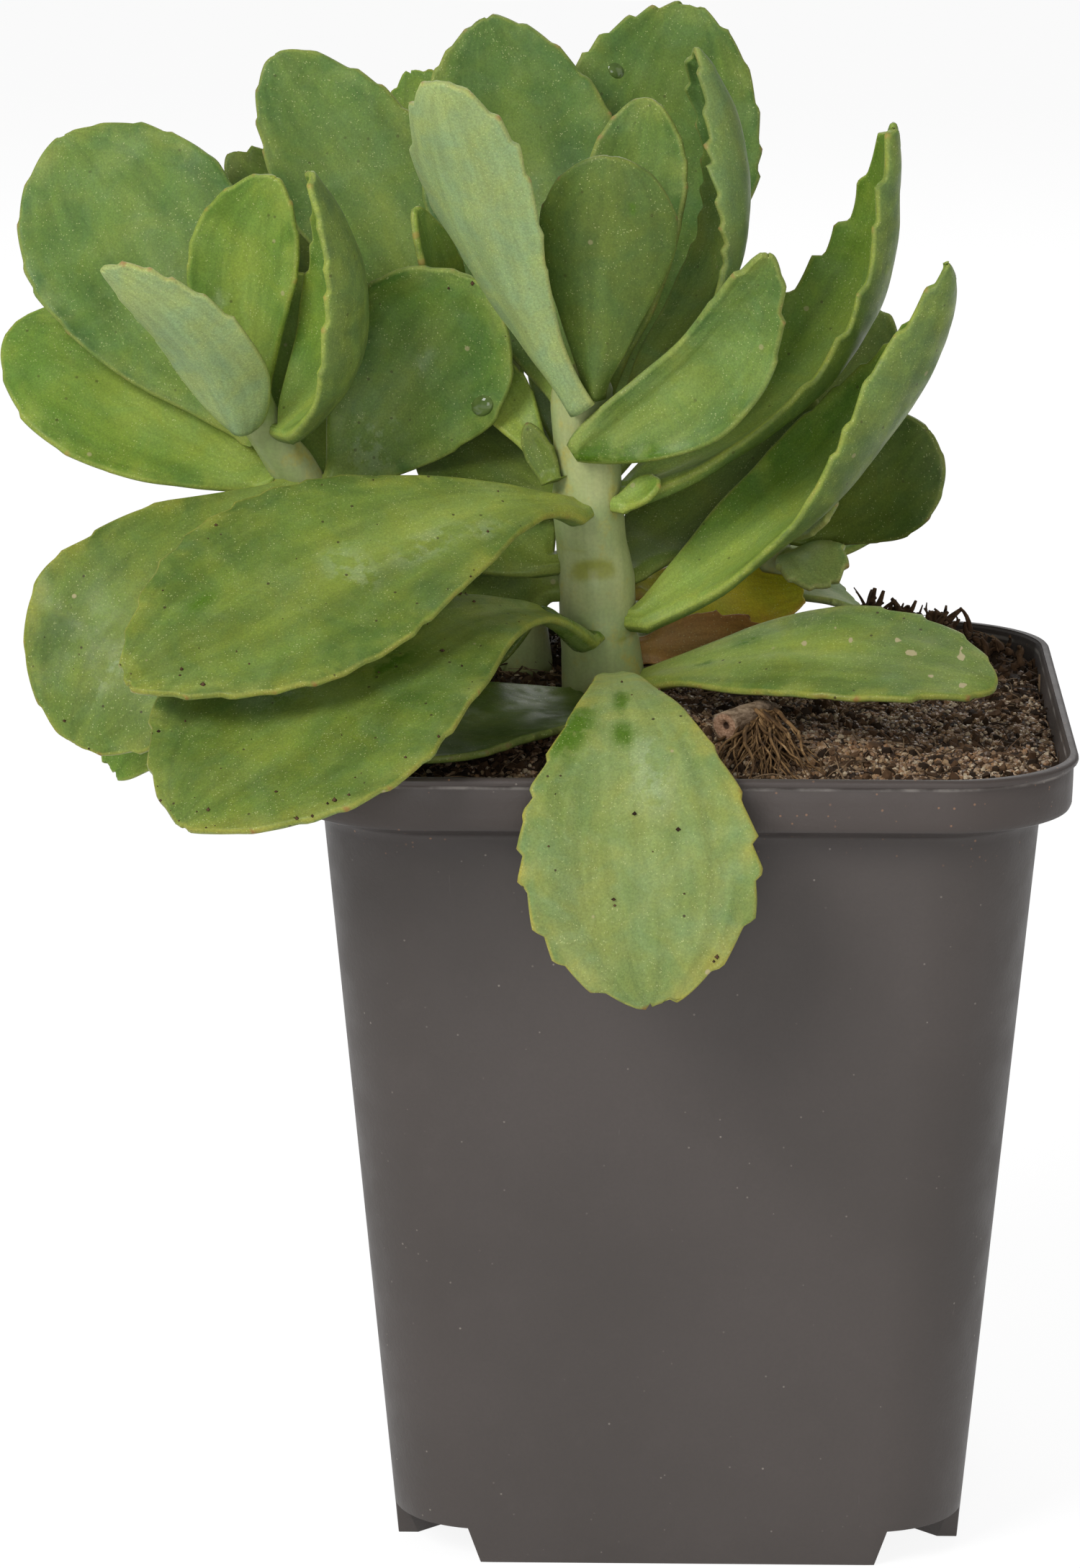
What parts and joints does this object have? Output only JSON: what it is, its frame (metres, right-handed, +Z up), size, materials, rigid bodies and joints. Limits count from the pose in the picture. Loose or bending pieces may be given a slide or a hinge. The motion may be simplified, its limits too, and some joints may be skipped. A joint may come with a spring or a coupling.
{
  "type": "potted sedum",
  "caption": "Small potted stonecrop: broad fleshy toothed leaves on short stems in a square soil-filled nursery pot.",
  "frame": {"origin": "centre of the pot's flat cross-shaped underside, on the surface that it stands on", "axes": "+Z up; the front of the plant looks towards -Y; +X is to the right seen from the front"},
  "size_m": [0.1538, 0.1376, 0.2136],
  "materials": {
    "pot_plastic": "taupe injection-moulded nursery pot, fine matte grain, smoother bead on the rim, dusty",
    "potting_soil": "dark damp peat with pale sand grains, bark crumbs and fine roots",
    "stem_green": "pale green fleshy stem with leaf scars",
    "leaf_green": "fleshy matt green leaf, paler along the middle, grey-green bloom underneath, yellowish toothed margin",
    "leaf_yellow": "fading yellow leaf with a brown tip",
    "leaf_dry": "dry brown withered leaf",
    "twig_wood": "weathered snapped twig with a pithy core"
  },
  "bodies": {
    "root": {"back_high": "leaf_green", "back_middle": "leaf_green", "back_rear_left": "leaf_green", "back_rear_middle": "leaf_green", "back_side_left": "leaf_green", "back_small": "leaf_green", "back_stem": "stem_green", "back_tall": "leaf_green", "left_folded": "leaf_green", "left_front": "leaf_green", "left_hanging": "leaf_green", "left_hanging_rear": "leaf_green", "left_inner": "leaf_green", "left_outer_high": "leaf_green", "left_outer_low": "leaf_green", "left_rear_high": "leaf_green", "left_rear_low": "leaf_green", "left_round": "leaf_green", "left_stem": "stem_green", "main_bud_left": "leaf_green", "main_bud_right": "leaf_green", "main_front_hanging": "leaf_green", "main_left_lower": "leaf_green", "main_left_upper": "leaf_green", "main_rear_high": "leaf_green", "main_rear_low": "leaf_green", "main_right_cup": "leaf_green", "main_right_dark": "leaf_green", "main_right_long": "leaf_green", "main_right_low": "leaf_green", "main_shade_deep": "leaf_green", "main_shade_low": "leaf_green", "main_shade_middle": "leaf_green", "main_shade_top": "leaf_green", "main_soil_left": "leaf_green", "main_soil_right": "leaf_green", "main_stem": "stem_green", "main_top_back_left": "leaf_green", "main_top_back_right": "leaf_green", "main_top_front": "leaf_green", "main_top_inner": "leaf_green", "main_top_left": "leaf_green", "main_top_right": "leaf_green", "main_withered": "leaf_dry", "main_yellow": "leaf_yellow", "pot": "pot_plastic", "right_bud": "leaf_green", "right_curled": "leaf_green", "right_rear": "leaf_green", "right_round": "leaf_green", "right_soil": "leaf_green", "right_stem": "stem_green", "right_upright": "leaf_green", "soil": "potting_soil", "twig": "twig_wood"}
  },
  "joints": []
}
